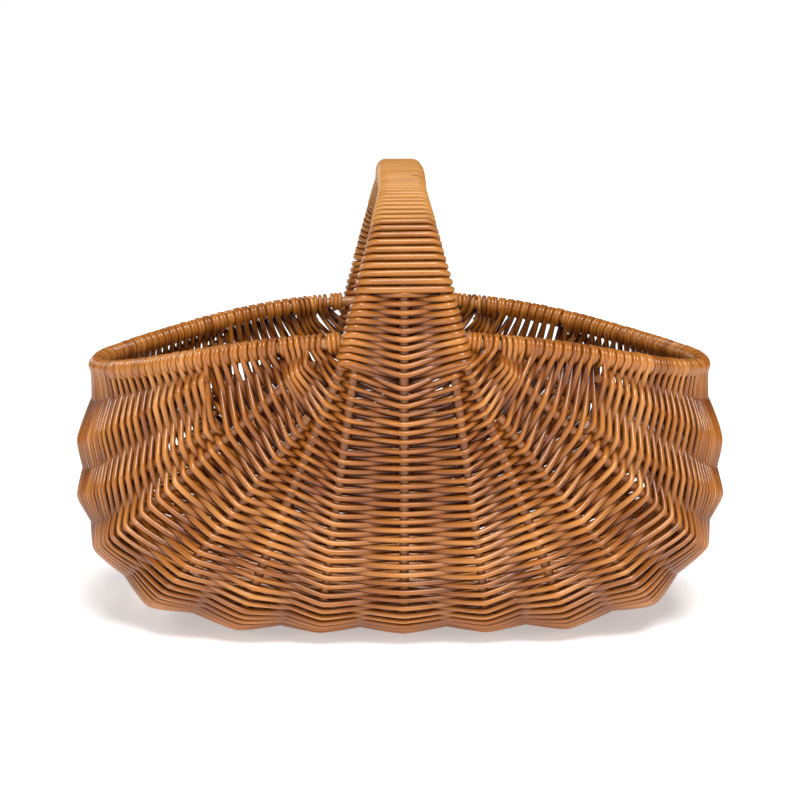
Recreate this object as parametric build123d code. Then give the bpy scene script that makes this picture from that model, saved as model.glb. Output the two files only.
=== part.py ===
from build123d import *
import math
import os

os.makedirs("parts", exist_ok=True)

# Wicker log basket: a rib basket of willow rods. Millimetres, X along the length,
# Y across (front is -Y), Z up, origin on the floor under the middle.

# Rib surface: the ribs' centre lines lie on it.
BULGE_LENGTH = 576.0        # between the rib centres at the fullest height
BULGE_DEPTH = 418.0
BULGE_HEIGHT = 130.0
PLAN_POWER = 2.3            # superellipse power of the plan at the rim
PLAN_POWER_BASE = 3.6       # and near the floor
PLAN_FROM = 190.0           # the plan grows squarer from this height
PLAN_TO = 20.0              # down to this one
END_ROUND = 1.8             # how round the sides are near the bulge, seen from the front
END_FLAT = 6.2              # how flat the underside is, seen from the front
FACE_ROUND = 4.1            # the same, seen from the end
FACE_FLAT = 7.0

# Rods
RIM_ROD = 10.0
HOOP_ROD = 8.4
RIB_ROD = 7.5
SKIN_INSIDE = 5.2           # from the rib surface to the inside of the woven skin
SKIN_OUTSIDE = 8.8
FLAT_OUTER = 0.5            # the skin's round underside is cut flat this far up
FLAT_INNER = 0.1
RIB_BOTTOM = SKIN_OUTSIDE - FLAT_OUTER

# Rim hoop: an oval saddle
RIM_LENGTH = 550.0          # between rod centres
RIM_DEPTH = 394.0
RIM_END_HEIGHT = 224.0
RIM_EAR_HEIGHT = 263.0
WRAP_RADIUS = 9.2           # outside of the rods wound round the rim hoop
WRAP_CLEAR = 0.8
WRAP_START = 62.0           # half the bare stretch of rim hoop behind the handle
SKIN_BELOW_RIM = 10.8

# Handle
BOW_TOP = 399.0             # centre of the bows at the crest
BOW_DEPTH = 413.0           # between the bow centres at the ears
BOW_POWER = 2.8
CREST_SPREAD = 11.0         # centre bow to side bow at the crest
SPREAD_FROM = 385.0         # below this height the side bows spread
SPREAD_SLOPE = 0.275
BOW_CLEAR = 6.2             # from the bow centres to the inside of the coverings
WEAVE_BOTTOM = 253.0
WEAVE_TOP = 303.0
COIL_TOP = 357.0
WEAVE_OUTSIDE = 9.4
COIL_OUTSIDE = 10.5
GRIP_OUTSIDE = 9.0
BEHIND_BOWS_FROM = 275.0    # the covering goes round the back of the bows above the rim

# Ribs seen from the front: where each starts below the rim, at what height it
# crosses the end, and how far out it crosses the underside.
RIB_STARTS = {1: (165.0, 229.0), 2: (155.0, 190.0), 3: (79.0, 246.0), 4: (80.0, 200.0), 6: (41.0, 245.0)}
RIB_SIDE_CROSSING = {1: 155.0, 2: 109.0}
RIB_UNDER_CROSSING = {3: 271.0, 4: 224.0, 6: 73.0}
RIB_SAG = {4: 4.5}          # how far below a straight line a rib's middle is
HOOP_UNDER_CROSSING = 145.0

# Lines that part the woven skin into bands, seen from the end: rim point, foot point.
BAND_LINES = [
    ((0.0, 300.0), (0.0, -10.0)),
    ((55.5, 300.0), (99.6, -10.0)),
    ((104.0, 300.0), (216.0, -10.0)),
    ((163.0, 300.0), (250.0, -10.0)),
    ((300.0, 300.0), (300.0, -10.0)),
]
BAND_NAMES = ["base", "lower", "middle", "upper"]
BAND_GAP = 0.15


def lower_share(height, bottom, roundness, flatness):
    """How much of the full half width is left at a height below the bulge."""
    drop = min(max((BULGE_HEIGHT - height) / (BULGE_HEIGHT - bottom), 0.0), 1.0)
    return (1.0 - drop**roundness) ** (1.0 / flatness)


def plan_power(height):
    """Superellipse power of the plan at a height."""
    share = min(max((PLAN_FROM - height) / (PLAN_FROM - PLAN_TO), 0.0), 1.0)
    return PLAN_POWER + (PLAN_POWER_BASE - PLAN_POWER) * share


def half_length(height, outside=0.0):
    """Half the length of the rib surface, moved out by a distance, at a height."""
    widest = BULGE_LENGTH / 2 + outside
    if height < BULGE_HEIGHT:
        return widest * lower_share(height, RIB_BOTTOM - outside, END_ROUND, END_FLAT)
    climb = (height - BULGE_HEIGHT) / (RIM_END_HEIGHT - BULGE_HEIGHT)
    return widest - (BULGE_LENGTH - RIM_LENGTH) / 2 * min(climb, 1.0) ** 2


def half_depth(height, outside=0.0):
    """Half the depth of the rib surface, moved out by a distance, at a height."""
    widest = BULGE_DEPTH / 2 + outside
    if height < BULGE_HEIGHT:
        return widest * lower_share(height, RIB_BOTTOM - outside, FACE_ROUND, FACE_FLAT)
    climb = (height - BULGE_HEIGHT) / (RIM_EAR_HEIGHT - BULGE_HEIGHT)
    return widest - (BULGE_DEPTH - BOW_DEPTH) / 2 * min(climb, 1.0) ** 2


def surface_depth(x, height):
    """How far in front of the middle the rib surface is at x and a height."""
    reach = half_length(height)
    share = min(abs(x) / reach, 1.0) if reach > 0 else 0.0
    power = plan_power(height)
    return half_depth(height) * (1.0 - share**power) ** (1.0 / power)


def under_height(x):
    """Height of the rib surface under the middle of the basket at x."""
    share = x / (BULGE_LENGTH / 2)
    return BULGE_HEIGHT - (BULGE_HEIGHT - RIB_BOTTOM) * (1.0 - share**END_FLAT) ** (1.0 / END_ROUND)


def rim_height(x):
    """Height of the rim hoop's centre line at x."""
    share = min(abs(x) / (RIM_LENGTH / 2), 1.0)
    rise = (1.0 - share**PLAN_POWER) ** 1.5
    return RIM_END_HEIGHT + (RIM_EAR_HEIGHT - RIM_END_HEIGHT) * rise


def rim_point(turn):
    """Point of the rim hoop's centre line at an angle round the oval."""
    c = math.cos(turn)
    s = math.sin(turn)
    x = RIM_LENGTH / 2 * math.copysign(abs(c) ** (2 / PLAN_POWER), c)
    y = RIM_DEPTH / 2 * math.copysign(abs(s) ** (2 / PLAN_POWER), s)
    return Vector(x, y, rim_height(x))


def bow_spread(height):
    """Centre bow to side bow at a height, above the rim."""
    return CREST_SPREAD + SPREAD_SLOPE * max(SPREAD_FROM - height, 0.0)


def bow_arch(foot_depth, steps):
    """Depth and height along a bow, from the front ear over the crest to the back ear."""
    points = []
    for i in range(steps + 1):
        turn = math.pi * i / steps
        c = -math.cos(turn)
        y = foot_depth * math.copysign(abs(c) ** (2 / BOW_POWER), c)
        z = RIM_EAR_HEIGHT + (BOW_TOP - RIM_EAR_HEIGHT) * math.sin(turn) ** (2 / BOW_POWER)
        points.append((y, z))
    return points


def rounded_route(points, closed=False):
    """A smooth wire of straight runs and tangent arcs, cutting each corner of a polyline."""
    count = len(points)
    corners = range(count) if closed else range(1, count - 1)
    edges = []
    last = None if closed else points[0]
    first = None
    for i in corners:
        here = points[i]
        before = points[i - 1] - here
        after = points[(i + 1) % count] - here
        setback = 0.49 * min(before.length, after.length)
        start = here + before.normalized() * setback
        end = here + after.normalized() * setback
        half_angle = before.get_angle(after) / 2
        radius = setback * math.tan(math.radians(half_angle))
        to_centre = (before.normalized() + after.normalized()).normalized()
        centre_distance = setback / math.cos(math.radians(half_angle))
        middle = here + to_centre * (centre_distance - radius)
        if last is not None:
            edges.append(Edge.make_line(last, start))
        else:
            first = start
        edges.append(Edge.make_three_point_arc(start, middle, end))
        last = end
    edges.append(Edge.make_line(last, first if closed else points[-1]))
    return Wire(edges)


def rod(points, diameter, closed=False, bore=0.0):
    """A round rod along a route, or a sleeve if it has a bore."""
    route = rounded_route(points, closed)
    plane = Plane(origin=route @ 0, z_dir=route % 0)
    section = plane * Circle(diameter / 2)
    if bore > 0:
        section -= plane * Circle(bore / 2)
    return sweep(section, path=route)


def rib_front_half(start, end, steps, sag=0.0):
    """Points along the front half of a rib: straight or sagging from the front, round in depth."""
    points = []
    for i in range(steps + 1):
        share = 1.0 - (1.0 - i / steps) ** 2.2
        x = start[0] + (end[0] - start[0]) * share
        z = start[1] + (end[1] - start[1]) * share - sag * 4 * share * (1.0 - share)
        y = 0.0 if i == steps else -surface_depth(x, z)
        points.append(Vector(x, y, z))
    return points


def with_back_half(front):
    """The points, and the same points mirrored to the back."""
    return front + [Vector(p.X, -p.Y, p.Z) for p in reversed(front[:-1])]


def to_side(points, side):
    return [Vector(side * p.X, p.Y, p.Z) for p in points]


def rib(number, side):
    if number in RIB_SIDE_CROSSING:
        height = RIB_SIDE_CROSSING[number]
        end = (half_length(height), height)
    else:
        under = RIB_UNDER_CROSSING[number]
        end = (under, under_height(under))
    front = rib_front_half(RIB_STARTS[number], end, 14, RIB_SAG.get(number, 0.0))
    points = with_back_half(front)
    return rod(to_side(points, side), RIB_ROD)


def handle_hoop(side):
    """A bow of the handle and the rib that it runs on into, as one closed hoop."""
    spread = abs(side) * bow_spread(RIM_EAR_HEIGHT)
    foot = surface_depth(spread, RIM_EAR_HEIGHT)
    crossing = abs(side) * HOOP_UNDER_CROSSING
    under = with_back_half(rib_front_half((spread, RIM_EAR_HEIGHT), (crossing, under_height(crossing)), 14))
    arch = bow_arch(foot, 26)[1:-1]
    over = [Vector(abs(side) * bow_spread(z), y, z) for y, z in reversed(arch)]
    return rod(to_side(under + over, side if side else 1), HOOP_ROD, closed=True)


def rim_hoop():
    steps = 40
    return rod([rim_point(2 * math.pi * i / steps) for i in range(steps)], RIM_ROD, closed=True)


def rim_wrap(side, face):
    """The turns wound round a quarter of the rim hoop, as a sleeve."""
    first_share = (2 * WRAP_START / RIM_LENGTH) ** (PLAN_POWER / 2)
    first_turn = math.acos(first_share)
    last_turn = 0.002
    steps = 10
    points = []
    for i in range(steps + 1):
        point = rim_point(first_turn + (last_turn - first_turn) * i / steps)
        points.append(Vector(side * point.X, face * point.Y, point.Z))
    return rod(points, 2 * WRAP_RADIUS, bore=RIM_ROD + 2 * WRAP_CLEAR)


def plan_outline(height, outside):
    """Closed superellipse outline of the rib surface, moved out, at a height."""
    steps = 28
    a = half_length(height, outside)
    b = half_depth(height, outside)
    power = plan_power(height)
    points = []
    for i in range(steps):
        turn = 2 * math.pi * i / steps
        c = math.cos(turn)
        s = math.sin(turn)
        x = a * math.copysign(abs(c) ** (2 / power), c)
        y = b * math.copysign(abs(s) ** (2 / power), s)
        points.append((x, y, height))
    return Wire([Edge.make_spline(points, periodic=True)])


def body_solid(outside, flat):
    """The rib surface moved out by a distance, as a solid up to the ears' height."""
    bottom = RIB_BOTTOM - outside
    heights = [bottom + flat]
    for drop in (0.985, 0.965, 0.935, 0.89, 0.83, 0.75, 0.64, 0.5, 0.34, 0.17):
        heights.append(BULGE_HEIGHT - (BULGE_HEIGHT - bottom) * drop)
    heights += [BULGE_HEIGHT, 160.0, 195.0, 232.0, RIM_EAR_HEIGHT]
    return Solid.make_loft([plan_outline(z, outside) for z in heights], ruled=True)


def under_rim():
    """Everything below the woven skin's top edge, which follows the rim."""
    reach = BULGE_LENGTH / 2 + 20
    steps = 16
    line = []
    for i in range(steps + 1):
        x = RIM_LENGTH / 2 * (2 * i / steps - 1)
        line.append((x, rim_height(x) - SKIN_BELOW_RIM))
    edge_height = RIM_END_HEIGHT - SKIN_BELOW_RIM
    corners = [(-reach, edge_height), (-reach, -10.0), (reach, -10.0), (reach, edge_height)]
    outline = line[::-1] + corners
    face = Plane.XZ * make_face(Polyline([*outline, outline[0]]))
    return extrude(face, BULGE_DEPTH / 2 + 30, both=True)


def band_region(index, face):
    """The wedge of space that one woven band fills, on the front or back."""
    near = BAND_LINES[index]
    far = BAND_LINES[index + 1]
    gap = BAND_GAP
    corners = [
        (face * (near[0][0] + gap), near[0][1]),
        (face * (near[1][0] + gap), near[1][1]),
        (face * (far[1][0] - gap), far[1][1]),
        (face * (far[0][0] - gap), far[0][1]),
    ]
    outline = Plane.YZ * make_face(Polyline([*corners, corners[0]]))
    return extrude(outline, BULGE_LENGTH / 2 + 30, both=True)


def leg_line():
    """The handle's centre line in depth and height, from below one ear to below the other."""
    below = (235.0, 244.0, 253.0)
    front = [(-half_depth(z), z) for z in below]
    back = [(half_depth(z), z) for z in reversed(below)]
    return front + bow_arch(BOW_DEPTH / 2, 36)[1:-1] + back


def offset_line(points, distance):
    """The line moved sideways by a distance, away from the middle of the basket if positive."""
    moved = []
    for i, (y, z) in enumerate(points):
        before = points[max(i - 1, 0)]
        after = points[min(i + 1, len(points) - 1)]
        dy = after[0] - before[0]
        dz = after[1] - before[1]
        length = math.hypot(dy, dz)
        moved.append((y - distance * dz / length, z + distance * dy / length))
    return moved


def leg_slab(offset):
    """A slab along the whole arch, this far to each side of the centre line."""
    line = leg_line()
    outer = Polyline(offset_line(line, offset))
    inner = Polyline(offset_line(line, -offset))
    ends = [Line(outer @ 0, inner @ 0), Line(outer @ 1, inner @ 1)]
    return extrude(Plane.YZ * make_face([outer, inner, *ends]), 80.0, both=True)


def leg_width(offset, low, high):
    """The handle seen from the front between two heights, this far outside the side bows."""
    corners = []
    for z in (low, high) if high <= SPREAD_FROM else (low, SPREAD_FROM, high):
        corners.append((bow_spread(z) + offset, z))
    outline = corners + [(-x, z) for x, z in reversed(corners)]
    face = Plane.XZ * make_face(Polyline([*outline, outline[0]]))
    return extrude(face, BOW_DEPTH / 2 + 30, both=True)


def leg_cover(low, high, outside):
    """A covering round the three bows between two heights, on both legs."""
    outer = leg_slab(outside) & leg_width(outside, low, high)
    inner = leg_slab(BOW_CLEAR) & leg_width(BOW_CLEAR, low - 1, high + 60)
    return outer - inner


def half_space(face):
    """Everything in front of (face -1) or behind (face 1) the middle."""
    size = 600.0
    return Pos(0, face * size / 2, 200) * Box(size, size, size)


def side_space(side):
    """Everything left (side -1) or right (side 1) of the middle."""
    size = 700.0
    return Pos(side * size / 2, 0, 200) * Box(size, size, size)


def handle_weave(face):
    cover = leg_cover(WEAVE_BOTTOM, WEAVE_TOP, WEAVE_OUTSIDE) & half_space(face)
    inner_side = Pos(0, 0, BEHIND_BOWS_FROM - 50) * Box(200, BOW_DEPTH, 100)
    return cover - inner_side


def handle_coil(face):
    return leg_cover(WEAVE_TOP + BAND_GAP, COIL_TOP, COIL_OUTSIDE) & half_space(face)


def grip_binding():
    return leg_cover(COIL_TOP + BAND_GAP, BOW_TOP + 2 * COIL_OUTSIDE, GRIP_OUTSIDE)


def save(name, shape):
    shape.label = name
    export_step(shape, f"parts/{name}.step")


FACES = {"front": -1, "back": 1}
SIDES = {"left": -1, "right": 1}

save("rim_hoop", rim_hoop())
save("handle_hoop_centre", handle_hoop(0))
for side_name, side in SIDES.items():
    save(f"handle_hoop_{side_name}", handle_hoop(side))
    for number in RIB_STARTS:
        save(f"rib_{side_name}_{number}", rib(number, side))
    for face_name, face in FACES.items():
        save(f"rim_wrap_{face_name}_{side_name}", rim_wrap(side, face))

skin = (body_solid(SKIN_OUTSIDE, FLAT_OUTER) - body_solid(SKIN_INSIDE, FLAT_INNER)) & under_rim()
for face_name, face in FACES.items():
    for index, band_name in enumerate(BAND_NAMES):
        band = skin & band_region(index, face)
        for side_name, side in SIDES.items():
            save(f"weave_{face_name}_{band_name}_{side_name}", band & side_space(side))
    save(f"handle_weave_{face_name}", handle_weave(face))
    save(f"handle_coil_{face_name}", handle_coil(face))
save("grip_binding", grip_binding())
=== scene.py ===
import math
import random

import bpy
import numpy as np
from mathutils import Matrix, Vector


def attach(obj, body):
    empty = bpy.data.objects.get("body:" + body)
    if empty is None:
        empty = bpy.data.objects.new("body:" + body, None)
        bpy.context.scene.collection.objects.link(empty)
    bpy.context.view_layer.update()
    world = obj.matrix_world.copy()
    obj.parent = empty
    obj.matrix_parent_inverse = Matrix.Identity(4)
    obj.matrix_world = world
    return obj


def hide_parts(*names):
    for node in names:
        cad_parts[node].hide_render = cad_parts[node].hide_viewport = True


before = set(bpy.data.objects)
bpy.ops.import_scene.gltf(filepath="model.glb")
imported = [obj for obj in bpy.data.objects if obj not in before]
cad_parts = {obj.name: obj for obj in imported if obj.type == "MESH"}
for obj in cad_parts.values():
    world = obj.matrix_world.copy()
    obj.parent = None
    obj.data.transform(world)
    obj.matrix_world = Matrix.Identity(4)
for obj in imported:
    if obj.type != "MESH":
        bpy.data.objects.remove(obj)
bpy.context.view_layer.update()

# Wicker log basket. Lengths are in millimetres until a mesh is made, which is in metres.
# X along the basket, Y across (front is -Y), Z up.
MM = 0.001
RANDOM = random.Random(41)
FACES = {"front": 1, "back": -1}
SIDES = {"left": -1, "right": 1}

# The rib surface, as in the CAD model: the ribs' centre lines lie on it
BULGE_LENGTH = 576.0
BULGE_DEPTH = 418.0
BULGE_HEIGHT = 130.0             # where it is longest and deepest
RIB_BOTTOM = 8.3
PLAN_POWER = 2.3                 # of the outline seen from above, at the rim
PLAN_POWER_BASE = 3.6            # and near the floor, where it is squarer
PLAN_FROM = 190.0                # the one changes into the other between these heights
PLAN_TO = 20.0
END_ROUND = 1.8                  # the lower outline seen from the front
END_FLAT = 6.2
FACE_ROUND = 4.1                 # and seen from the side
FACE_FLAT = 7.0

# The rim hoop and the three bows of the handle
RIM_LENGTH = 550.0
RIM_DEPTH = 394.0
RIM_END_HEIGHT = 224.0
RIM_EAR_HEIGHT = 263.0           # where the handle crosses it
RIM_RISE = 1.5                   # higher makes the rise to the handle narrower
RIM_RADIUS = 5.0
WRAP_START = 52.0                # X where the turns round the rim begin
BOW_TOP = 399.0
BOW_DEPTH = 413.0
BOW_POWER = 2.8
CREST_SPREAD = 11.0              # X of a side bow over the crest
SPREAD_FROM = 385.0              # below this height the side bows spread apart
SPREAD_SLOPE = 0.275
HOOP_RADIUS = 4.2

# The ribs. 0 and 5 are the centre and side bows, carried on round the basket. The others start at
# (X, height) on the front, and cross the basket's middle at a height on the end or an X underneath.
HOOPS = (0, 5)
RIB_ORDER = (6, 5, 4, 3, 2, 1)   # from the centre rib outwards
RIB_RADIUS = 3.75
RIB_STARTS = {
    1: (165.0, 229.0),
    2: (155.0, 190.0),
    3: (79.0, 246.0),
    4: (80.0, 200.0),
    6: (41.0, 245.0),
}
RIB_SIDE_CROSSING = {1: 155.0, 2: 109.0}
RIB_UNDER_CROSSING = {3: 271.0, 4: 224.0, 6: 73.0}
RIB_SAG = {4: 4.5}
HOOP_UNDER_CROSSING = 145.0
RIB_STEPS = 260
RIB_STEP_POWER = 2.2             # higher puts more of the steps near the middle of the basket

# The weave
ROWS = 107                       # rows from each ear to the middle of the underside
BANDS = {"upper": (0, 26), "middle": (27, 53), "lower": (54, 80), "base": (81, ROWS)}
# Along each rib, as (row, distance from the rib's tip or, on the hoops, from the rim's height):
# its first row, and then rows that follow the photographed ones. The last row is at its end.
RIB_STOPS = {
    0: ((0, 33.0),),
    6: ((1, 3.0), (17, 77.0), (60, 241.0)),
    5: ((0, 17.0),),
    4: ((15, 2.0), (60, 198.0)),
    3: ((6, 2.0), (17, 28.0), (60, 252.0)),
    2: ((30, 2.0), (60, 128.0)),
    1: ((31, 2.0), (60, 126.0)),
}
RIM_STOPS = ((0, 13.2), (13, 45.2), (60, 242.2))   # the same, from WRAP_START
ROW_WANDER = 0.5                 # how far a row strays up and down from rib to rib
WANDER_ROWS = 2.3                # higher spreads each stray over more rows
ROW_JITTER = 0.3
WEAVER_BUTT = 2.25               # radius at a rod's thick end
WEAVER_TIP = 1.95
WEAVER_SIDES = 8
WEAVER_STEP = 4.0                # between rings along a rod
PRESS = 0.35                     # how far a weaver is pressed into what it crosses
SPAN_PULL = 0.42                 # low, so that rods lie straight between ribs and bend at them
ROD_ROWS = (2, 4)                # how many rows one rod makes
ROD_SIZES = (0.92, 1.1)          # from the thinnest to the thickest rod, times the radii above
CUT_CLEAR = 8                    # points before the next row where no rod ends
RUN_BEFORE = 9.0                 # how far a rod runs on past the ribs that hide its two ends
RUN_AFTER = 7.0
SWELLS = ((0.035, 23.0, 5), (0.02, 7.1, 9))   # share of the radius, length, and phase
ROD_END = 0.72                   # share of the radius left at a rod's end
ROD_END_GROWTH = 6.0             # in this length from the end it would gain a whole radius
FULLNESS_ROWS = (0, 14, 26, 56, 76, ROWS)
FULLNESS = (1.0, 1.0, 1.1, 1.1, 1.08, 1.08)
SIDE_FULLNESS = 0.1
SLIM_WITHIN = 60.0               # this near the middle, the weavers are at their thinnest
CROWDED_FROM = 205.0             # past here, the later rows lie close together and are thinner
CROWDED_ROWS = (46, 66)
END_SLIMNESS = 0.34
DARKEST_SHADE_LIFT = -3.6                 # the painted shade on a rod's surface is darkest this far back in the weave
UNSHADED_LIFT = 4.4                  # and gone this far out
GRAIN_LENGTH = 4000.0            # each rod starts at its own place along this much grain

# The turns round the rim
RIM_ANGLES = (-38, 214)          # degrees, from outside towards up, between the ends of a turn
RIM_PRESS = 0.3                  # the same as PRESS, round the rim
RIM_PULL = 1.03                  # near 1, for round bends
RIM_LEAVING_PULL = 0.7
RIM_TURN_STEPS = 6
FULL_TURN_STEPS = 9              # more steps for a second turn
RIM_OVERRUN = 0.15               # of the row pitch, for each turn
DOUBLE_TURN_FROM = 6.4           # a rod goes round the rim twice where two rows are further apart
START_TURNS = 3                  # beside the handle, before the first row
START_PLACE = 0.5
START_PITCH = 4.1
START_ANGLE = 230
START_POINTS = 22                # round one turn

# The handle
HANDLE_WEAVE_TOP = 303.0
HANDLE_ROWS = 20
HANDLE_ROW_POINTS = 6
HANDLE_ROW_OFFSET = 0.2          # of the pitch, from the top of the weave to the first row
HANDLE_CUT_ROWS = (5, 10, 14)    # where one rod ends and the next begins
HANDLE_WEAVER = 2.45             # radius
HANDLE_TAPER = 0.04              # either way
HANDLE_STEP = 3.0
HANDLE_TURN_ANGLES = (45, 90, 135)
HANDLE_TURN_PULL = 1.05
SIDE_SWELL = 0.22                # how much fuller a rod is round a side bow
SWELL_FROM = 0.55                # of the way from the centre bow to the side bow
CENTRE_PITCH = 3.7               # handle rows along the centre bow
SIDE_PITCH = 2.95                # and along the side bows
COIL_TOP = 357.0
COIL_ROD = 2.85                  # radius
COIL_BUTT = 1.03                 # times the radius, at the two ends
COIL_TIP = 0.93
COIL_WIDE = 1.03                 # width beside height
COIL_PITCH = 6.5
COIL_SLOPE = 0.25                # how steep a turn is apart from its climb inside, in pitches a turn
COIL_SIDES = 10
COIL_POINTS = 40                 # round one turn
GRIP_RODS = 4
GRIP_ROD = 2.55                  # radius
GRIP_PITCH = 5.5
GRIP_EXTRA = 0.9                 # how far it stands clear of the side bows
GRIP_NARROW = 0.97               # width beside height, at the grip's ends
GRIP_WIDE = 1.16                 # and over the crest
GRIP_WORN_FROM = 372.0           # height where the rods start to look flat and worn
GRIP_GAP = 0.3                   # how much closer it starts to the coil than the two radii
GRIP_PRESS = 0.1                 # the same as PRESS, for the grip


def lower_share(height, roundness, flatness):
    """Share of the full width that is left at a height below the bulge."""
    drop = min(max((BULGE_HEIGHT - height) / (BULGE_HEIGHT - RIB_BOTTOM), 0.0), 1.0)
    return (1.0 - drop**roundness) ** (1.0 / flatness)


def plan_power(height):
    share = min(max((PLAN_FROM - height) / (PLAN_FROM - PLAN_TO), 0.0), 1.0)
    return PLAN_POWER + (PLAN_POWER_BASE - PLAN_POWER) * share


def half_length(height):
    if height < BULGE_HEIGHT:
        return BULGE_LENGTH / 2 * lower_share(height, END_ROUND, END_FLAT)
    climb = (height - BULGE_HEIGHT) / (RIM_END_HEIGHT - BULGE_HEIGHT)
    return (BULGE_LENGTH - (BULGE_LENGTH - RIM_LENGTH) * min(climb, 1.0) ** 2) / 2


def half_depth(height):
    if height < BULGE_HEIGHT:
        return BULGE_DEPTH / 2 * lower_share(height, FACE_ROUND, FACE_FLAT)
    climb = (height - BULGE_HEIGHT) / (RIM_EAR_HEIGHT - BULGE_HEIGHT)
    return (BULGE_DEPTH - (BULGE_DEPTH - BOW_DEPTH) * min(climb, 1.0) ** 2) / 2


def surface_depth(x, height):
    """How far in front of the middle the rib surface is."""
    reach = half_length(height)
    share = min(abs(x) / reach, 1.0) if reach > 0 else 0.0
    power = plan_power(height)
    return half_depth(height) * (1.0 - share**power) ** (1.0 / power)


def under_height(x):
    """Height of the rib surface under the basket, along its middle."""
    share = x / (BULGE_LENGTH / 2)
    return BULGE_HEIGHT - (BULGE_HEIGHT - RIB_BOTTOM) * (1.0 - share**END_FLAT) ** (1.0 / END_ROUND)


def rim_point(turn):
    """A point on the rim hoop's centre line, at an angle from +X."""
    c = math.cos(turn)
    s = math.sin(turn)
    x = RIM_LENGTH / 2 * math.copysign(abs(c) ** (2 / PLAN_POWER), c)
    y = RIM_DEPTH / 2 * math.copysign(abs(s) ** (2 / PLAN_POWER), s)
    rise = (1.0 - (abs(x) / (RIM_LENGTH / 2)) ** PLAN_POWER) ** RIM_RISE
    return np.array([x, y, RIM_END_HEIGHT + (RIM_EAR_HEIGHT - RIM_END_HEIGHT) * rise])


def bow_spread(height):
    """X of a side bow at a height."""
    return CREST_SPREAD + SPREAD_SLOPE * max(SPREAD_FROM - height, 0.0)


def unit(vector):
    return vector / max(np.linalg.norm(vector), 1e-9)


def unit_rows(vectors):
    return vectors / np.maximum(np.linalg.norm(vectors, axis=1), 1e-9)[:, None]


def distances(points):
    """Distance along a line at each of its points."""
    steps = np.linalg.norm(np.diff(points, axis=0), axis=1)
    return np.concatenate([[0.0], np.cumsum(steps)])


class Track:
    """A line through dense points, read by the distance along it, with a normal at each point."""

    def __init__(self, points, normals):
        self.points = np.array(points)
        self.normals = np.array(normals)
        self.along = distances(self.points)
        self.length = self.along[-1]

    def read(self, table, distance):
        return np.array([np.interp(distance, self.along, table[:, i]) for i in range(3)])

    def point(self, distance):
        return self.read(self.points, distance)

    def normal(self, distance):
        return unit(self.read(self.normals, distance))

    def tangent(self, distance):
        return unit(self.point(distance + 1.0) - self.point(distance - 1.0))


def surface_level(x, y, z):
    """Under 1 inside the rib surface, over 1 outside it."""
    power = plan_power(z)
    return (abs(x) / max(half_length(z), 1e-6)) ** power + (abs(y) / max(half_depth(z), 1e-6)) ** power


def surface_normal(point):
    """Outward normal of the rib surface, from points just inside it."""
    inset = 0.985
    clear_of_base = 0.4
    step = 0.3
    x = inset * point[0]
    y = inset * point[1]
    z = max(point[2], RIB_BOTTOM + clear_of_base)
    slope = np.array([
        surface_level(x + step, y, z) - surface_level(x - step, y, z),
        surface_level(x, y + step, z) - surface_level(x, y - step, z),
        surface_level(x, y, z + step) - surface_level(x, y, z - step),
    ])
    return unit(slope)


def rib_track(start, end, sag=0.0):
    """The front half of a rib on the right: straight or sagging from the front, round in depth."""
    points = []
    for i in range(RIB_STEPS + 1):
        share = 1.0 - (1.0 - i / RIB_STEPS) ** RIB_STEP_POWER
        x = start[0] + (end[0] - start[0]) * share
        z = start[1] + (end[1] - start[1]) * share - sag * 4 * share * (1.0 - share)
        y = 0.0 if i == RIB_STEPS else -surface_depth(x, z)
        points.append((x, y, z))
    normals = [surface_normal(p) for p in points]
    normals[-1] = unit(normals[-2] * np.array([1.0, 0.0, 1.0]))
    return Track(points, normals)


def rib_tracks():
    tracks = {0: rib_track((0.0, RIM_EAR_HEIGHT), (0.0, RIB_BOTTOM))}
    spread = bow_spread(RIM_EAR_HEIGHT)
    crossing = HOOP_UNDER_CROSSING
    tracks[5] = rib_track((spread, RIM_EAR_HEIGHT), (crossing, under_height(crossing)))
    for number, start in RIB_STARTS.items():
        if number in RIB_SIDE_CROSSING:
            height = RIB_SIDE_CROSSING[number]
            tracks[number] = rib_track(start, (half_length(height), height))
        else:
            crossing = RIB_UNDER_CROSSING[number]
            end = (crossing, under_height(crossing))
            tracks[number] = rib_track(start, end, RIB_SAG.get(number, 0.0))
    return tracks


def rim_track():
    """The front right quarter of the rim hoop, from beside the handle to the end."""
    first = math.acos((2 * WRAP_START / RIM_LENGTH) ** (PLAN_POWER / 2))
    last = 1e-4
    steps = 200
    points = [rim_point(-(first + (last - first) * i / steps)) for i in range(steps + 1)]
    normals = []
    for i in range(steps + 1):
        ahead = points[min(i + 1, steps)] - points[max(i - 1, 0)]
        normals.append(unit(np.cross(ahead, np.array([0.0, 0.0, 1.0]))))
    return Track(points, normals)


def handle_track():
    """The centre bow's line from below the front ear over the crest to below the back ear."""
    leg_heights = (225.0, 238.0, 250.0)
    steps = 240
    points = [(0.0, -half_depth(z), z) for z in leg_heights]
    for i in range(steps + 1):
        turn = math.pi * i / steps
        c = -math.cos(turn)
        y = BOW_DEPTH / 2 * math.copysign(abs(c) ** (2 / BOW_POWER), c)
        z = RIM_EAR_HEIGHT + (BOW_TOP - RIM_EAR_HEIGHT) * math.sin(turn) ** (2 / BOW_POWER)
        points.append((0.0, y, z))
    points += [(0.0, half_depth(z), z) for z in reversed(leg_heights)]
    points = np.array(points)
    ahead = np.gradient(points, axis=0)
    normals = np.stack([np.zeros(len(points)), -ahead[:, 2], ahead[:, 1]], axis=1)
    return Track(points, unit_rows(normals))


TRACKS = rib_tracks()
RIM = rim_track()
HANDLE = handle_track()


def row_place(track, stops, row):
    """Distance along a track where a row crosses it, steady between the stops and on to the end."""
    rows = [stop[0] for stop in stops] + [ROWS]
    places = [stop[1] for stop in stops] + [track.length]
    return float(np.interp(row + 0.5, rows, places))


def rim_place(row):
    return row_place(RIM, RIM_STOPS, row)


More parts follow.
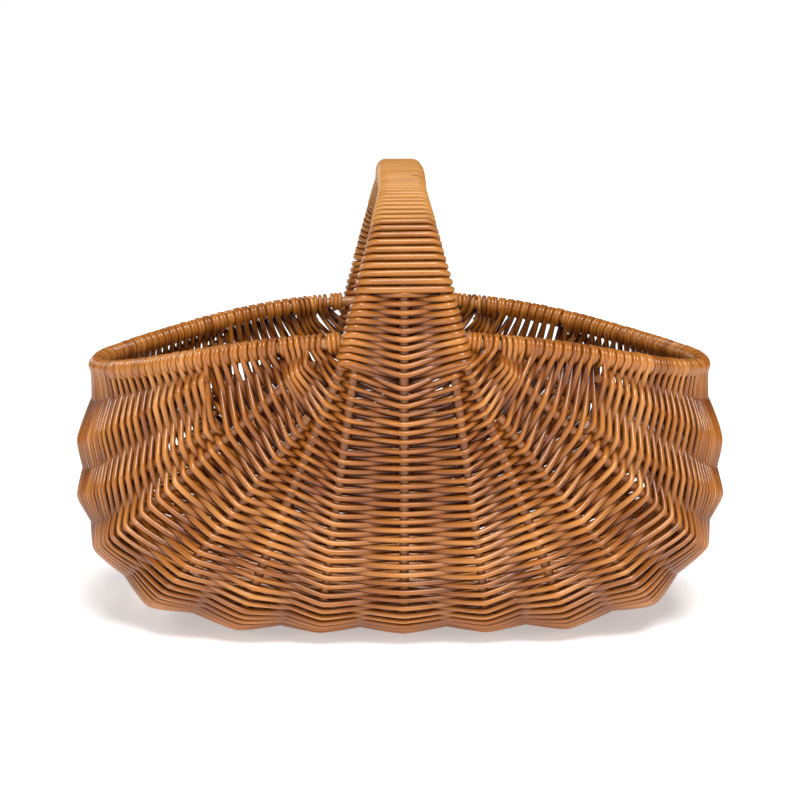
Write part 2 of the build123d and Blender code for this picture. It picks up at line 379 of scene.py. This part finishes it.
def active_ribs(row):
    """The ribs that a row reaches, from the centre outwards."""
    return [n for n in RIB_ORDER if row >= RIB_STOPS[n][0][0]]


def wobble(seed, place, scale):
    """A smooth wander between about -1 and 1, from a slow wave and a quicker one."""
    slow = math.sin(place / scale + seed * 12.9898)
    quick = math.sin(place / scale * 2.31 + seed * 78.233 + 1.7)
    return 0.6 * slow + 0.4 * quick


class Path:
    """Control points of a rod, with the pull of the curve after each, and what it passes there."""

    def __init__(self):
        self.points = []
        self.pull = []           # tangent length over the span, after this point
        self.kind = []
        self.lift = []           # from the middle of the weave to the rod, as a vector

    def add(self, point, pull, kind, lift):
        self.points.append(point)
        self.pull.append(pull)
        self.kind.append(kind)
        self.lift.append(lift)


def mirrored(vector, side, face):
    """A vector of the front right quarter, in another quarter."""
    return np.array([side * vector[0], -face * vector[1], vector[2]])


def rib_crossing(number, row, side, face, outward, thickness):
    """Where a row's centre line passes over or under a rib, and its lift."""
    track = TRACKS[number]
    place = row_place(track, RIB_STOPS[number], row)
    wander = ROW_WANDER * wobble(number + 7 * side + 3 * face, row, WANDER_ROWS)
    place += wander + RANDOM.uniform(-ROW_JITTER, ROW_JITTER)
    rib = HOOP_RADIUS if number in HOOPS else RIB_RADIUS
    reach = outward * (rib + thickness - PRESS)
    lift = track.normal(place) * reach
    return mirrored(track.point(place) + lift, side, face), mirrored(lift, side, face)


def round_rim(place, angle, off):
    """A point round the rim hoop, off its surface, at an angle from outside towards up."""
    out = RIM.normal(place)
    up = unit(np.cross(RIM.tangent(place), out))
    if up[2] < 0:
        up = -up
    a = math.radians(angle)
    lift = (RIM_RADIUS + off) * (math.cos(a) * out + math.sin(a) * up)
    return RIM.point(place) + lift, lift


def rim_turn(row, side, face, outward, thickness):
    """The points of a turn round the rim, on the way from a row to the next one."""
    pitch = rim_place(row + 1) - rim_place(row)
    middle = 0.5 * (rim_place(row) + rim_place(row + 1))
    second = 2 * pitch > DOUBLE_TURN_FROM
    low, high = RIM_ANGLES
    sweep = high - low + (360 if second else 0)
    steps = RIM_TURN_STEPS + (FULL_TURN_STEPS if second else 0)
    advance = pitch * (1.0 + RIM_OVERRUN * (2 if second else 1))
    points = []
    for i in range(steps + 1):
        share = i / steps
        angle = low + sweep * share if outward > 0 else high - sweep * share
        place = min(middle + advance * (share - 0.5), RIM.length)
        point, lift = round_rim(place, angle, thickness - RIM_PRESS)
        points.append((mirrored(point, side, face), mirrored(lift, side, face)))
    return points


def row_path(path, row, face, direction, thickness):
    """One row from rim to rim, and the turn round the rim at its end."""
    ribs = active_ribs(row)
    centre = face if row % 2 == 0 else -face
    outward = {0: centre}
    for i, number in enumerate(ribs):
        outward[number] = centre if i % 2 else -centre
    order = [(-1, n) for n in reversed(ribs)] + [(1, 0)] + [(1, n) for n in ribs]
    if direction < 0:
        order = [(-side, n) for side, n in order]
    for side, number in order:
        out = outward[number]
        kind = "out" if out > 0 else "in"
        point, lift = rib_crossing(number, row, side, face, out, thickness)
        path.add(point, SPAN_PULL, kind, lift)
    out = -outward[ribs[-1]]
    for point, lift in rim_turn(row, direction, face, out, thickness):
        path.add(point, RIM_PULL, "rim", lift)
    path.pull[-1] = RIM_LEAVING_PULL


def smooth(path, step):
    """A smooth line through the control points, and its lift at each of its own points."""
    points = np.array(path.points)
    lifts = np.array(path.lift)
    spans = np.diff(points, axis=0)
    lengths = np.linalg.norm(spans, axis=1)
    directions = unit_rows(spans)
    turning = directions[:-1] + directions[1:]
    tangents = unit_rows(np.vstack([directions[:1], turning, directions[-1:]]))
    line = [points[:1]]
    lift = [lifts[:1]]
    for i, length in enumerate(lengths):
        count = max(3, int(math.ceil(length / step)))
        t = (np.arange(1, count + 1) / count)[:, None]
        pull = path.pull[i] * length
        start = points[i] * (2 * t**3 - 3 * t**2 + 1) + points[i + 1] * (3 * t**2 - 2 * t**3)
        turn = tangents[i] * pull * (t**3 - 2 * t**2 + t) + tangents[i + 1] * pull * (t**3 - t**2)
        line.append(start + turn)
        lift.append(lifts[i] + (lifts[i + 1] - lifts[i]) * (3 * t**2 - 2 * t**3))
    return np.vstack(line), np.vstack(lift)


def carried_frames(tangents):
    """A sideways direction at each point, carried along the line without twist."""
    current = np.array([0.0, 0.0, 1.0]) if abs(tangents[0][2]) < 0.8 else np.array([1.0, 0.0, 0.0])
    frames = np.empty_like(tangents)
    for i, tangent in enumerate(tangents):
        current = current - tangent * float(current @ tangent)
        current = current / math.sqrt(float(current @ current))
        frames[i] = current
    return frames


def point_attribute(mesh, name, values):
    """Numbers or vectors at a mesh's points, which its material reads."""
    kind, key = ("FLOAT_VECTOR", "vector") if values.ndim == 2 else ("FLOAT", "value")
    layer = mesh.attributes.new(name, kind, "POINT")
    layer.data.foreach_set(key, values.ravel().astype(np.float32))


class Bundle:
    """Many rods gathered into one mesh. Each point has its place in the rod's grain, the rod's
    tint, and how open it is to light: 0 in the crevices of the weave and 1 on the outside, which sets
    the painted shade."""

    def __init__(self, sides):
        self.sides = sides
        self.vertices = []
        self.faces = []
        self.grain = []
        self.tint = []
        self.open = []
        self.count = 0

    def add(self, line, radii, tint, lift, wide=1.0, outward=None):
        """A closed tube along a line. wide and outward flatten it against what it lies on."""
        tangents = unit_rows(np.gradient(line, axis=0))
        if outward is None:
            frames = carried_frames(tangents)
        else:
            frames = unit_rows(outward - tangents * np.sum(outward * tangents, axis=1)[:, None])
        across = np.cross(tangents, frames)[:, None]
        frames = frames[:, None]
        angles = np.arange(self.sides) * 2 * math.pi / self.sides
        cos = np.cos(angles)[None, :, None]
        sin = np.sin(angles)[None, :, None]
        spread = np.broadcast_to(wide, len(line))[:, None, None]
        rings = line[:, None] + radii[:, None, None] * (frames * cos + spread * across * sin)
        self.add_faces(len(line))
        self.vertices.append(rings.reshape(-1, 3))
        # How open each point is to light, which sets the painted shade in the crevices
        self.open.append(openness(frames * cos + across * sin, lift))
        self.grain.append(grain_places(line, radii, angles))
        self.tint.append(np.full(len(line) * self.sides, tint))
        self.count += len(line) * self.sides

    def add_faces(self, rings):
        """Walls between the rings and a face over each end."""
        index = self.count + np.arange(rings * self.sides).reshape(rings, self.sides)
        after = np.roll(index, -1, axis=1)
        walls = np.stack([index[:-1], after[:-1], after[1:], index[1:]], axis=-1)
        self.faces.extend(walls.reshape(-1, 4).tolist())
        self.faces.append(index[0][::-1].tolist())
        self.faces.append(index[-1].tolist())

    def build(self, name, material):
        mesh = bpy.data.meshes.new(name)
        vertices = np.vstack(self.vertices) * MM
        mesh.from_pydata(vertices.tolist(), [], self.faces)
        mesh.update()
        point_attribute(mesh, "grain", np.vstack(self.grain) * MM)
        point_attribute(mesh, "tint", np.concatenate(self.tint))
        point_attribute(mesh, "open", np.concatenate(self.open))
        mesh.polygons.foreach_set("use_smooth", np.ones(len(mesh.polygons), dtype=bool))
        mesh.materials.append(material)
        piece = bpy.data.objects.new(name, mesh)
        bpy.context.scene.collection.objects.link(piece)
        return piece


def openness(facing, lift):
    """How far each point round a rod faces out of the weave, from 0 to 1, for the painted shade in the
    crevices.
    """
    out = np.sum(facing * lift[:, None], axis=2)
    return np.clip((out - DARKEST_SHADE_LIFT) / (UNSHADED_LIFT - DARKEST_SHADE_LIFT), 0.0, 1.0).ravel()


def grain_places(line, radii, angles):
    """Each point's place in the wood: across the rod twice, and along it."""
    grain = np.empty((len(line), len(angles), 3))
    grain[:, :, 0] = radii[:, None] * np.cos(angles)
    grain[:, :, 1] = radii[:, None] * np.sin(angles)
    grain[:, :, 2] = distances(line)[:, None] + RANDOM.uniform(0, GRAIN_LENGTH)
    return grain.reshape(-1, 3)


def rod_radii(line, butt, tip, seed):
    """Radius along a rod: it tapers, swells a little here and there, and closes at its ends."""
    along = distances(line)
    share = along / along[-1]
    swell = 1.0
    for part, length, phase in SWELLS:
        swell = swell + part * np.sin(along / length + seed * phase)
    radii = (butt + (tip - butt) * share) * swell
    from_end = np.minimum(along, along[-1] - along)
    return radii * np.clip(ROD_END + from_end / ROD_END_GROWTH, ROD_END, 1.0)


def serpentine(face):
    """The whole weave of one half: rows joined by turns round the rim, as one long path."""
    path = Path()
    starts = []
    thickness = 0.5 * (WEAVER_BUTT + WEAVER_TIP)
    for row in range(ROWS):
        starts.append(len(path.points))
        direction = 1 if row % 2 == 0 else -1
        row_path(path, row, face, direction, thickness)
    starts.append(len(path.points))
    return path, starts


def rod_cuts(path, starts):
    """Where one rod ends and the next begins: behind a rib, every few rows."""
    cuts = [0]
    row = 0
    while row < ROWS:
        row += RANDOM.randint(*ROD_ROWS)
        if row >= ROWS - 1:
            break
        places = range(starts[row] + 1, starts[row + 1] - CUT_CLEAR)
        inside = [i for i in places if path.kind[i] == "in"]
        if inside:
            cuts.append(RANDOM.choice(inside))
    cuts.append(len(path.points) - 1)
    return cuts


def cut_path(path, first, last):
    """One rod's share of the long path, running a little past the ribs that hide its ends."""
    piece = Path()
    if first > 0:
        back = unit(path.points[first - 1] - path.points[first])
        piece.add(path.points[first] + back * RUN_BEFORE, 1.0, "tip", path.lift[first])
    for i in range(first, last + 1):
        piece.add(path.points[i], path.pull[i], path.kind[i], path.lift[i])
    if last < len(path.points) - 1:
        ahead = unit(path.points[last + 1] - path.points[last])
        piece.add(path.points[last] + ahead * RUN_AFTER, 1.0, "tip", path.lift[last])
    return piece


def fullness(line, row):
    """Weavers are thicker towards the sides of the middle rows, and thinner at the basket's ends."""
    by_row = np.interp(row, FULLNESS_ROWS, FULLNESS)
    reach = np.abs(line[:, 0])
    side = np.clip((reach - SLIM_WITHIN) / SLIM_WITHIN, 0.0, 1.0)
    end = np.clip((reach - CROWDED_FROM) / SLIM_WITHIN, 0.0, 1.0)
    late = np.interp(row, CROWDED_ROWS, (0.0, 1.0))
    return by_row * (1.0 + SIDE_FULLNESS * side) * (1.0 - END_SLIMNESS * end * late)


def weave_half(face, face_name, material):
    """Every weaver of the front or back half, in four bands."""
    path, starts = serpentine(face)
    cuts = rod_cuts(path, starts)
    bundles = {name: Bundle(WEAVER_SIDES) for name in BANDS}
    for first, last in zip(cuts[:-1], cuts[1:]):
        row = np.searchsorted(starts, first, side="right") - 1
        band = next(name for name, (low, high) in BANDS.items() if low <= row <= high)
        line, lift = smooth(cut_path(path, first, last), WEAVER_STEP)
        seed = RANDOM.uniform(0, 10)
        butt = WEAVER_BUTT * RANDOM.uniform(*ROD_SIZES)
        tip = WEAVER_TIP * RANDOM.uniform(*ROD_SIZES)
        # A weaver is nowhere thicker than its height over the floor
        radii = np.minimum(rod_radii(line, butt, tip, seed) * fullness(line, row), line[:, 2])
        bundles[band].add(line, radii, RANDOM.random(), lift)
    for name, bundle in bundles.items():
        piece = bundle.build(f"weavers_{face_name}_{name}", material)
        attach(piece, "root")
        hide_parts(*(f"weave_{face_name}_{name}_{side_name}" for side_name in SIDES))


def end_turns(face, face_name, side, side_name, material):
    """The turns round the rim that start the weave beside the handle."""
    bundle = Bundle(WEAVER_SIDES)
    line = []
    lifts = []
    for i in range(START_TURNS * START_POINTS):
        place = START_PLACE + START_PITCH * i / START_POINTS
        point, lift = round_rim(place, START_ANGLE + 360 * i / START_POINTS, WEAVER_BUTT - RIM_PRESS)
        line.append(mirrored(point, side, face))
        lifts.append(mirrored(lift, side, face))
    line = np.array(line)
    bundle.add(line, rod_radii(line, WEAVER_BUTT, WEAVER_BUTT, 1.0), RANDOM.random(), np.array(lifts))
    piece = bundle.build(f"rim_turns_{face_name}_{side_name}", material)
    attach(piece, "root")
    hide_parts(f"rim_wrap_{face_name}_{side_name}")


def handle_place(height):
    """Distance along the front leg at a height."""
    half = len(HANDLE.points) // 2
    return float(np.interp(height, HANDLE.points[:half, 2], HANDLE.along[:half]))


def bow_point(place, bow, lateral, outward):
    """A point by a bow (-1, 0 or 1), beside it in X and outward from it, and its lift."""
    centre = HANDLE.point(place)
    centre[0] = bow * bow_spread(centre[2])
    lift = np.array([lateral, 0.0, 0.0]) + outward * HANDLE.normal(place)
    return centre + lift, lift


def handle_path(face):
    """The short rows woven round the three bows of a leg, from the top down."""
    path = Path()
    top = handle_place(HANDLE_WEAVE_TOP)
    reach = HOOP_RADIUS + HANDLE_WEAVER - PRESS
    for row in range(HANDLE_ROWS):
        direction = 1 if row % 2 == 0 else -1
        outward = -face if row % 2 == 0 else face
        side = top - SIDE_PITCH * (row + HANDLE_ROW_OFFSET)
        centre = top - CENTRE_PITCH * (row + HANDLE_ROW_OFFSET)
        stops = ((side, -direction, outward, SPAN_PULL), (centre, 0, -outward, SPAN_PULL),
                 (side, direction, outward, 1.0))
        for place, bow, out, pull in stops:
            point, lift = bow_point(place, bow, 0.0, out * reach)
            path.add(point, pull, "bow", lift)
        for i, angle in enumerate(HANDLE_TURN_ANGLES):
            a = math.radians(angle)
            place = side - SIDE_PITCH * (i + 1) / (len(HANDLE_TURN_ANGLES) + 1)
            lateral = direction * reach * math.sin(a)
            point, lift = bow_point(place, direction, lateral, outward * reach * math.cos(a))
            path.add(point, HANDLE_TURN_PULL, "turn", lift)
    return path


def pressed_wide(line):
    """How much wider a handle weaver is where it bends round a side bow."""
    spread = CREST_SPREAD + SPREAD_SLOPE * (SPREAD_FROM - line[:, 2])
    share = np.clip((np.abs(line[:, 0]) / spread - SWELL_FROM) / (1.0 - SWELL_FROM), 0.0, 1.0)
    return 1.0 + SIDE_SWELL * share * share * (3.0 - 2.0 * share)


def handle_weavers(face, face_name, material):
    """The rods of one leg's woven rows."""
    bundle = Bundle(WEAVER_SIDES)
    path = handle_path(face)
    last_bow = len(path.points) - 1 - len(HANDLE_TURN_ANGLES)
    cuts = [0, *(HANDLE_ROW_POINTS * row + 1 for row in HANDLE_CUT_ROWS), last_bow]
    butt = HANDLE_WEAVER * (1.0 + HANDLE_TAPER)
    tip = HANDLE_WEAVER * (1.0 - HANDLE_TAPER)
    for first, last in zip(cuts[:-1], cuts[1:]):
        line, lift = smooth(cut_path(path, first, last), HANDLE_STEP)
        line[:, 1] *= face
        lift[:, 1] *= face
        radii = rod_radii(line, butt, tip, RANDOM.random() * 9)
        bundle.add(line, radii * pressed_wide(line), RANDOM.random(), lift)
    piece = bundle.build(f"handle_weavers_{face_name}", material)
    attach(piece, "root")
    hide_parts(f"handle_weave_{face_name}")


def stadium(around, straight, bend, reach):
    """Point and outward direction at a distance round a stadium, starting inside the handle."""
    half = straight / 2
    if around < straight:
        return half - around, -reach, 0.0, -1.0
    around -= straight
    if around < bend:
        a = around / reach
        return -half - reach * math.sin(a), -reach * math.cos(a), -math.sin(a), -math.cos(a)
    around -= bend
    if around < straight:
        return around - half, reach, 0.0, 1.0
    a = (around - straight) / reach
    return half + reach * math.sin(a), reach * math.cos(a), math.sin(a), math.cos(a)


def coil_line(first, last, pitch, radius, extra=0.0):
    """A rod wound round the three bows along the handle, and its outward direction. Its turns are
    nearly level, and climb to the next one on the inner side of the handle."""
    turns = round((last - first) / pitch)
    pitch = (last - first) / turns
    reach = HOOP_RADIUS + radius
    bend = math.pi * reach
    line = []
    outward = []
    for i in range((turns + 1) * COIL_POINTS + 1):
        whole, part = divmod(i, COIL_POINTS)
        share = part / COIL_POINTS
        straight = 2 * (bow_spread(HANDLE.point(first + pitch * whole)[2]) + extra)
        around = share * (2 * straight + 2 * bend)
        climb = min(around / straight, 1.0) - 1.0 + COIL_SLOPE * (share - 0.5)
        place = max(first, first + pitch * (whole + climb))
        normal = HANDLE.normal(place)
        lateral, out, face_x, face_n = stadium(around, straight, bend, reach)
        line.append(HANDLE.point(place) + np.array([lateral, 0.0, 0.0]) + out * normal)
        outward.append(np.array([face_x, 0.0, 0.0]) + face_n * normal)
    return np.array(line), np.array(outward)


def handle_coil(face, face_name, material):
    """The thick rod wound round one leg above its woven rows."""
    bundle = Bundle(COIL_SIDES)
    first = handle_place(HANDLE_WEAVE_TOP) + COIL_ROD
    last = handle_place(COIL_TOP)
    line, outward = coil_line(first, last, COIL_PITCH, COIL_ROD)
    line[:, 1] *= face
    outward[:, 1] *= face
    radii = rod_radii(line, COIL_ROD * COIL_BUTT, COIL_ROD * COIL_TIP, RANDOM.random() * 9)
    bundle.add(line, radii, RANDOM.random(), outward * HOOP_RADIUS, COIL_WIDE, outward)
    piece = bundle.build(f"handle_coil_{face_name}", material)
    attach(piece, "root")
    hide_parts(f"handle_coil_{face_name}")


def grip(material):
    """The thin rods wound over the top of the handle, pressed flatter towards the crest."""
    bundle = Bundle(COIL_SIDES)
    first = handle_place(COIL_TOP) + COIL_ROD + GRIP_ROD - GRIP_GAP
    share = (HANDLE.length - 2 * first + GRIP_PITCH) / GRIP_RODS
    for rod in range(GRIP_RODS):
        start = first + share * rod
        end = start + share - GRIP_PITCH
        line, outward = coil_line(start, end, GRIP_PITCH, GRIP_ROD - GRIP_PRESS, GRIP_EXTRA)
        radii = np.full(len(line), GRIP_ROD)
        worn = np.clip((line[:, 2] - GRIP_WORN_FROM) / (BOW_TOP - GRIP_WORN_FROM), 0.0, 1.0)
        wide = GRIP_NARROW + (GRIP_WIDE - GRIP_NARROW) * worn
        bundle.add(line, radii, RANDOM.random(), outward * HOOP_RADIUS, wide, outward)
    piece = bundle.build("grip_winding", material)
    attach(piece, "root")
    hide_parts("grip_binding")


# Materials. The grain's scales are across a rod twice and along it, in noise cells to the metre.
STREAKS = (900, 900, 26)
PATCHES = (120, 120, 14)
FLECKS = (260, 260, 46)
STREAK_SHADE = 0.34              # what each adds to the place on the colour ramp
PATCH_SHADE = 0.62
TINT_SHADE = 0.28
BASE_SHADE = -0.10
RAMP_PLACES = (0.22, 0.54, 0.86) # of the dark, middle and light colours
FLECK_RAMP = ((0.70, (0, 0, 0)), (0.78, (0.75, 0.75, 0.75)))
FLECK_SHARE = (0.45, 0.4, 0.4)   # of the dark colour, in a fleck
SMOOTHER = 0.08                  # how far the roughness varies either way
ROUGHER = 0.14
PAINTED_CREVICE_SHADE = (0.22, 0.10, 0.03)     # painted shade: what is left of the colour in the crevices between rods, where shade falls
WHITE = (1, 1, 1, 1)
WEAVER_COLOURS = ((0.67, 0.292, 0.074), (0.43, 0.140, 0.013), (0.20, 0.045, 0.003))
COIL_COLOURS = ((0.66, 0.300, 0.075), (0.53, 0.205, 0.035), (0.33, 0.100, 0.013))
GRIP_COLOURS = ((0.74, 0.38, 0.120), (0.62, 0.29, 0.075), (0.42, 0.16, 0.030))


def new_material(name):
    """A material with nodes, its node tree, and its shader."""
    material = bpy.data.materials.new(name)
    material.use_nodes = True
    return material, material.node_tree, material.node_tree.nodes["Principled BSDF"]


def feed(tree, socket, value):
    """Give a socket another node's output, or a number or colour of its own."""
    if isinstance(value, bpy.types.NodeSocket):
        tree.links.new(value, socket)
    else:
        socket.default_value = value


def attribute(tree, name, output):
    node = tree.nodes.new("ShaderNodeAttribute")
    node.attribute_name = name
    return node.outputs[output]


def noise(tree, vector, scale, detail):
    node = tree.nodes.new("ShaderNodeTexNoise")
    node.inputs["Scale"].default_value = scale
    node.inputs["Detail"].default_value = detail
    tree.links.new(vector, node.inputs["Vector"])
    return node.outputs["Fac"]


def grain_noise(tree, grain, scales, detail):
    """Noise drawn out along a rod."""
    mapping = tree.nodes.new("ShaderNodeMapping")
    mapping.inputs["Scale"].default_value = scales
    tree.links.new(grain, mapping.inputs["Vector"])
    return noise(tree, mapping.outputs["Vector"], 1.0, detail)


def multiply_add(tree, value, factor, added):
    node = tree.nodes.new("ShaderNodeMath")
    node.operation = "MULTIPLY_ADD"
    for socket, part in zip(node.inputs, (value, factor, added)):
        feed(tree, socket, part)
    return node.outputs[0]


def colour_ramp(tree, value, stops):
    """Colours along a value, from two or more (position, colour) stops."""
    node = tree.nodes.new("ShaderNodeValToRGB")
    elements = node.color_ramp.elements
    for element, (position, colour) in zip((elements[0], elements[1]), (stops[0], stops[-1])):
        element.position = position
        element.color = (*colour, 1)
    for position, colour in stops[1:-1]:
        elements.new(position).color = (*colour, 1)
    tree.links.new(value, node.inputs["Fac"])
    return node.outputs["Color"]


def mix(tree, factor, first, second, blend="MIX"):
    node = tree.nodes.new("ShaderNodeMix")
    node.data_type = "RGBA"
    node.blend_type = blend
    feed(tree, node.inputs["Factor"], factor)
    feed(tree, node.inputs["A"], first)
    feed(tree, node.inputs["B"], second)
    return node.outputs["Result"]


def ranged(tree, value, low, high):
    node = tree.nodes.new("ShaderNodeMapRange")
    node.inputs["To Min"].default_value = low
    node.inputs["To Max"].default_value = high
    tree.links.new(value, node.inputs["Value"])
    return node.outputs["Result"]


def bump(tree, height, strength, depth):
    node = tree.nodes.new("ShaderNodeBump")
    node.inputs["Strength"].default_value = strength
    node.inputs["Distance"].default_value = depth
    tree.links.new(height, node.inputs["Height"])
    return node.outputs["Normal"]


def willow(name, colours, roughness, coat, coat_roughness, bump_depth):
    """Varnished willow: grain along each rod, a tint for each rod, dark flecks, painted shade in the
    crevices of the weave, and gloss. The colours are a light, a middle and a dark one."""
    material, tree, shader = new_material(name)
    dark = colours[-1]
    grain = attribute(tree, "grain", "Vector")
    streaks = grain_noise(tree, grain, STREAKS, 3.0)
    patches = grain_noise(tree, grain, PATCHES, 2.0)
    flecks = grain_noise(tree, grain, FLECKS, 1.0)

    shade = multiply_add(tree, streaks, STREAK_SHADE, BASE_SHADE)
    shade = multiply_add(tree, patches, PATCH_SHADE, shade)
    shade = multiply_add(tree, attribute(tree, "tint", "Fac"), TINT_SHADE, shade)
    wood = colour_ramp(tree, shade, tuple(zip(RAMP_PLACES, reversed(colours))))
    fleck = (*(share * part for share, part in zip(FLECK_SHARE, dark)), 1)
    flecked = mix(tree, colour_ramp(tree, flecks, FLECK_RAMP), wood, fleck)
    # Painted shade: the colour is darkened where a rod faces back into the weave, between rods
    painted_shade = mix(tree, attribute(tree, "open", "Fac"), (*PAINTED_CREVICE_SHADE, 1), WHITE)
    flecked_and_shaded = mix(tree, 1.0, flecked, painted_shade, "MULTIPLY")

    tree.links.new(flecked_and_shaded, shader.inputs["Base Color"])
    gloss = ranged(tree, patches, roughness - SMOOTHER, roughness + ROUGHER)
    tree.links.new(gloss, shader.inputs["Roughness"])
    tree.links.new(bump(tree, streaks, 0.35, bump_depth), shader.inputs["Normal"])
    shader.inputs["Specular IOR Level"].default_value = 0.25
    shader.inputs["Coat Weight"].default_value = coat
    shader.inputs["Coat Roughness"].default_value = coat_roughness
    return material


def bare_rod(name, light, dark):
    """Varnished rods that carry no grain attribute: the hoops and ribs of the frame."""
    material, tree, shader = new_material(name)
    place = tree.nodes.new("ShaderNodeTexCoord").outputs["Object"]
    mottle = noise(tree, place, 160.0, 4.0)
    wood = colour_ramp(tree, mottle, ((0.3, dark), (0.7, light)))
    tree.links.new(wood, shader.inputs["Base Color"])
    tree.links.new(bump(tree, mottle, 0.25, 0.0003), shader.inputs["Normal"])
    shader.inputs["Roughness"].default_value = 0.4
    shader.inputs["Coat Weight"].default_value = 0.3
    shader.inputs["Coat Roughness"].default_value = 0.25
    return material


def paint_frame(hoop, rib):
    """Give the CAD nodes that still show their finish."""
    for name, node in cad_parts.items():
        if name == "rim_hoop":
            finish = hoop
        elif name.startswith(("rib_", "handle_hoop")):
            finish = rib
        else:
            continue
        node.data.materials.clear()
        node.data.materials.append(finish)


# The floor, the light and the camera, in metres and watts
FLOOR_HALF = 12.0
FLOOR_COLOUR = (0.93, 0.93, 0.93)
FLOOR_GLOW = 0.42                # keeps the floor white with a soft shadow
AMBIENT = 0.09
KEY_FROM = (0.12, -0.62, 1.0)    # a direction
KEY_STRENGTH = 3.3
KEY_ANGLE = 30                   # degrees across, for soft shadows
SOFT_BOXES = (                   # name, place, what it faces, size, power
    ("left_box", (-1.2, -1.9, 0.75), (0, 0, 0.2), (0.6, 0.8), 9.0),
    ("right_box", (1.2, -1.9, 0.75), (0, 0, 0.2), (0.6, 0.8), 8.0),
    ("back_fill", (-1.7, 1.8, 1.1), (0, 0, 0.15), (0.9, 0.9), 16.0),
)
EYE = (-0.0437, -2.3, 0.4843)
EYE_PITCH = 7.34                 # degrees down
EYE_YAW = 1.10                   # degrees to the right
LENS = 113.5
SENSOR = 36.0


def stage():
    """A plain pale floor."""
    mesh = bpy.data.meshes.new("floor")
    h = FLOOR_HALF
    corners = [(-h, -h, 0), (h, -h, 0), (h, h, 0), (-h, h, 0)]
    mesh.from_pydata(corners, [], [(0, 1, 2, 3)])
    floor = bpy.data.objects.new("floor", mesh)
    bpy.context.scene.collection.objects.link(floor)
    material, _, shader = new_material("floor")
    shader.inputs["Base Color"].default_value = (*FLOOR_COLOUR, 1)
    shader.inputs["Roughness"].default_value = 0.9
    shader.inputs["Specular IOR Level"].default_value = 0.1
    shader.inputs["Emission Color"].default_value = WHITE
    shader.inputs["Emission Strength"].default_value = FLOOR_GLOW
    mesh.materials.append(material)


def surround():
    """Pure white to the camera, as a studio backdrop, and a dimmer soft light on everything else."""
    world = bpy.data.worlds.new("surround")
    world.use_nodes = True
    tree = world.node_tree
    background = tree.nodes["Background"]
    background.inputs["Color"].default_value = WHITE
    seen = tree.nodes.new("ShaderNodeLightPath").outputs["Is Camera Ray"]
    tree.links.new(ranged(tree, seen, AMBIENT, 1.0), background.inputs["Strength"])
    bpy.context.scene.world = world


def look_rotation(place, aim):
    return (Vector(aim) - Vector(place)).to_track_quat("-Z", "Y").to_euler()


def soft_light(name, place, aim, size, power):
    light = bpy.data.lights.new(name, "AREA")
    light.shape = "RECTANGLE"
    light.size, light.size_y = size
    light.energy = power
    lamp = bpy.data.objects.new(name, light)
    lamp.location = place
    lamp.rotation_euler = look_rotation(place, aim)
    bpy.context.scene.collection.objects.link(lamp)


def lights():
    """A broad key from high in front, two soft boxes whose reflections run along the rods, and a
    fill for the back."""
    sun = bpy.data.lights.new("key", "SUN")
    sun.energy = KEY_STRENGTH
    sun.angle = math.radians(KEY_ANGLE)
    lamp = bpy.data.objects.new("key", sun)
    lamp.rotation_euler = look_rotation(KEY_FROM, (0, 0, 0))
    bpy.context.scene.collection.objects.link(lamp)
    for box in SOFT_BOXES:
        soft_light(*box)


def camera():
    """In front of the basket and a little above its handle, looking down on it slightly."""
    data = bpy.data.cameras.new("camera")
    data.sensor_width = SENSOR
    data.lens = LENS
    eye = bpy.data.objects.new("camera", data)
    eye.location = EYE
    eye.rotation_euler = (math.pi / 2 - math.radians(EYE_PITCH), 0.0, -math.radians(EYE_YAW))
    bpy.context.scene.collection.objects.link(eye)
    bpy.context.scene.camera = eye
    bpy.context.scene.view_settings.view_transform = "Standard"


def main():
    weaver = willow("willow_weavers", WEAVER_COLOURS, roughness=0.40, coat=0.65,
                    coat_roughness=0.12, bump_depth=0.0003)
    coil = willow("willow_coils", COIL_COLOURS, roughness=0.42, coat=0.55,
                  coat_roughness=0.16, bump_depth=0.0003)
    rib = bare_rod("willow_ribs", light=(0.36, 0.125, 0.030), dark=(0.20, 0.055, 0.010))
    hoop = bare_rod("willow_hoop", light=(0.56, 0.25, 0.080), dark=(0.38, 0.14, 0.038))
    paint_frame(hoop, rib)
    for face_name, face in FACES.items():
        weave_half(face, face_name, weaver)
        handle_weavers(face, face_name, weaver)
        handle_coil(face, face_name, coil)
        for side_name, side in SIDES.items():
            end_turns(face, face_name, side, side_name, weaver)
    grip(willow("willow_grip", GRIP_COLOURS, roughness=0.46, coat=0.22,
                coat_roughness=0.34, bump_depth=0.0001))
    stage()
    surround()
    lights()
    camera()


main()
